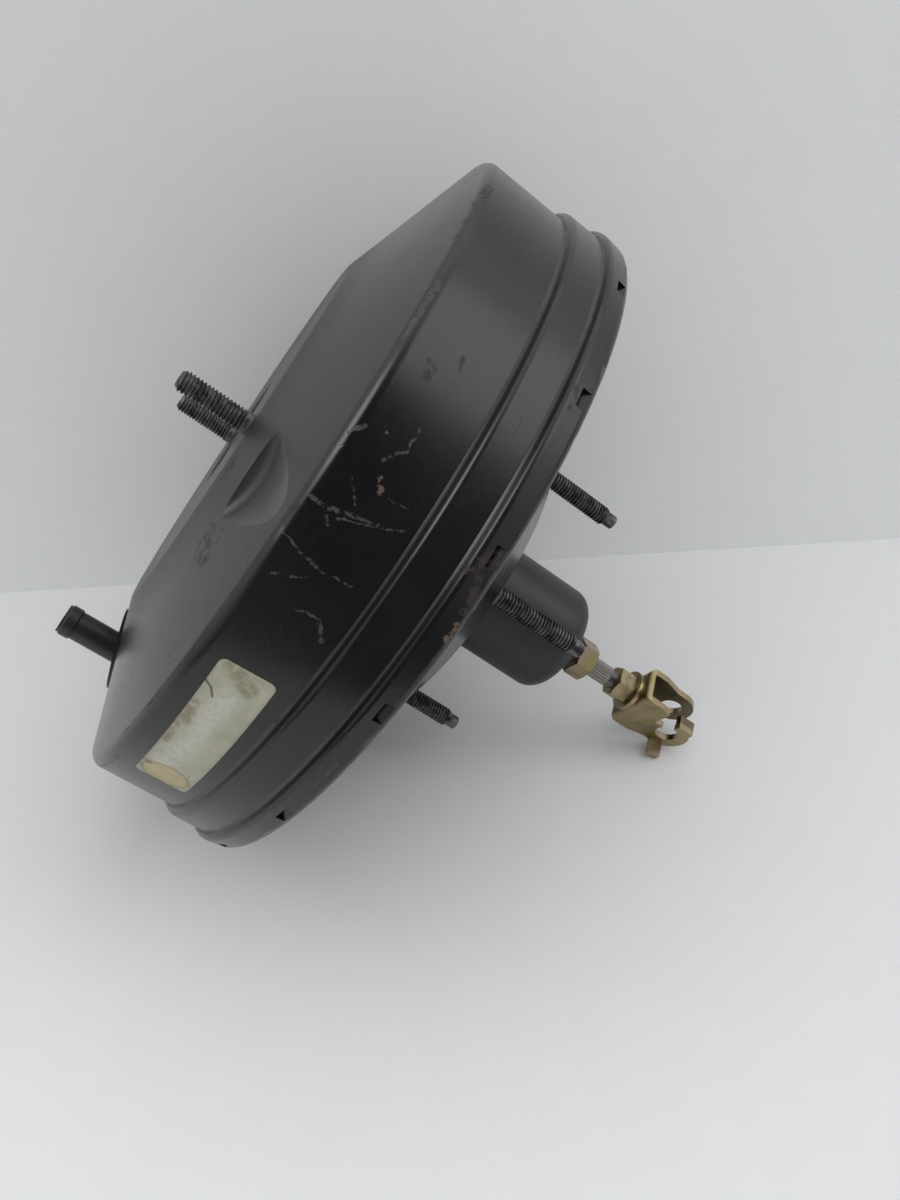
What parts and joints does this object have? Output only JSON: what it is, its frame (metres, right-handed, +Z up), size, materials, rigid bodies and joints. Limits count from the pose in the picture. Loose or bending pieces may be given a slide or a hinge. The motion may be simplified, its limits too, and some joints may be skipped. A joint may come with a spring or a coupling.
{
  "type": "brake booster",
  "caption": "Round vacuum brake booster: stepped black steel can with mounting studs, vacuum nipple, dust boot and a pedal rod with a yellow clevis.",
  "frame": {"origin": "centre of the rear face that bolts to the bulkhead, on the booster's axis", "axes": "+X along the axis towards the pedal, -X towards the master cylinder, +Z up, with the bulkhead studs' taller spacing along Z"},
  "size_m": [0.2688, 0.2847, 0.2848],
  "materials": {
    "shell_paint": "semi-gloss black paint on pressed steel, scuffed",
    "bare_steel": "plain pressed steel",
    "stud_black": "black phosphate",
    "nipple_black": "black paint on steel tube",
    "boot_black": "satin moulded cover",
    "seal_rubber": "matte rubber",
    "guide_plastic": "plain moulded",
    "piston_plastic": "moulded phenolic",
    "rod_steel": "turned steel",
    "spring_steel": "oiled spring wire",
    "filter_foam": "open foam",
    "filter_felt": "felt",
    "yellow_zinc": "yellow chromate on zinc"
  },
  "bodies": {
    "housing": {"front_shell": "shell_paint", "rear_shell": "shell_paint", "front_plate": "bare_steel", "rear_plate": "bare_steel", "front_studs": "stud_black", "rear_studs": "stud_black", "vacuum_nipple": "nipple_black", "nipple_flange": "nipple_black", "seal_retainer": "bare_steel", "hub_seal": "seal_rubber", "hub_bushing": "guide_plastic", "dust_boot": "boot_black", "return_spring": "spring_steel"},
    "power_piston": {"valve_body": "piston_plastic", "stop_key": "bare_steel", "diaphragm_plate": "bare_steel", "diaphragm": "seal_rubber", "reaction_disc": "seal_rubber", "output_rod": "rod_steel", "output_screw": "rod_steel", "rod_retainer": "bare_steel", "poppet_valve": "seal_rubber", "poppet_retainer": "bare_steel", "poppet_spring": "spring_steel", "rod_spring": "spring_steel", "silencer": "filter_foam", "air_filter": "filter_felt"},
    "valve_plunger": {"valve_plunger": "rod_steel"},
    "input_rod": {"input_rod": "rod_steel", "adjusting_nut": "yellow_zinc", "lock_nut": "yellow_zinc", "clevis": "yellow_zinc"}
  },
  "joints": [
    {"name": "piston_slide", "type": "slide", "parent": "housing", "child": "power_piston", "axis": [-1, 0, 0], "range_m": [0, 0.032], "stiffness_N_per_m": 2500, "springref_m": -0.04, "deforming": ["return_spring", "diaphragm"]},
    {"name": "valve_slide", "type": "slide", "parent": "power_piston", "child": "valve_plunger", "axis": [-1, 0, 0], "range_m": [0, 0.0016], "stiffness_N_per_m": 4000, "springref_m": -0.004, "deforming": ["rod_spring"]},
    {"name": "rod_tilt", "type": "hinge", "parent": "valve_plunger", "child": "input_rod", "pos_m": [0.008, 0, 0], "axis": [0, 1, 0], "range_deg": [-2.5, 2.5], "stiffness_Nm_per_rad": 25, "deforming": ["rod_spring"]}
  ]
}
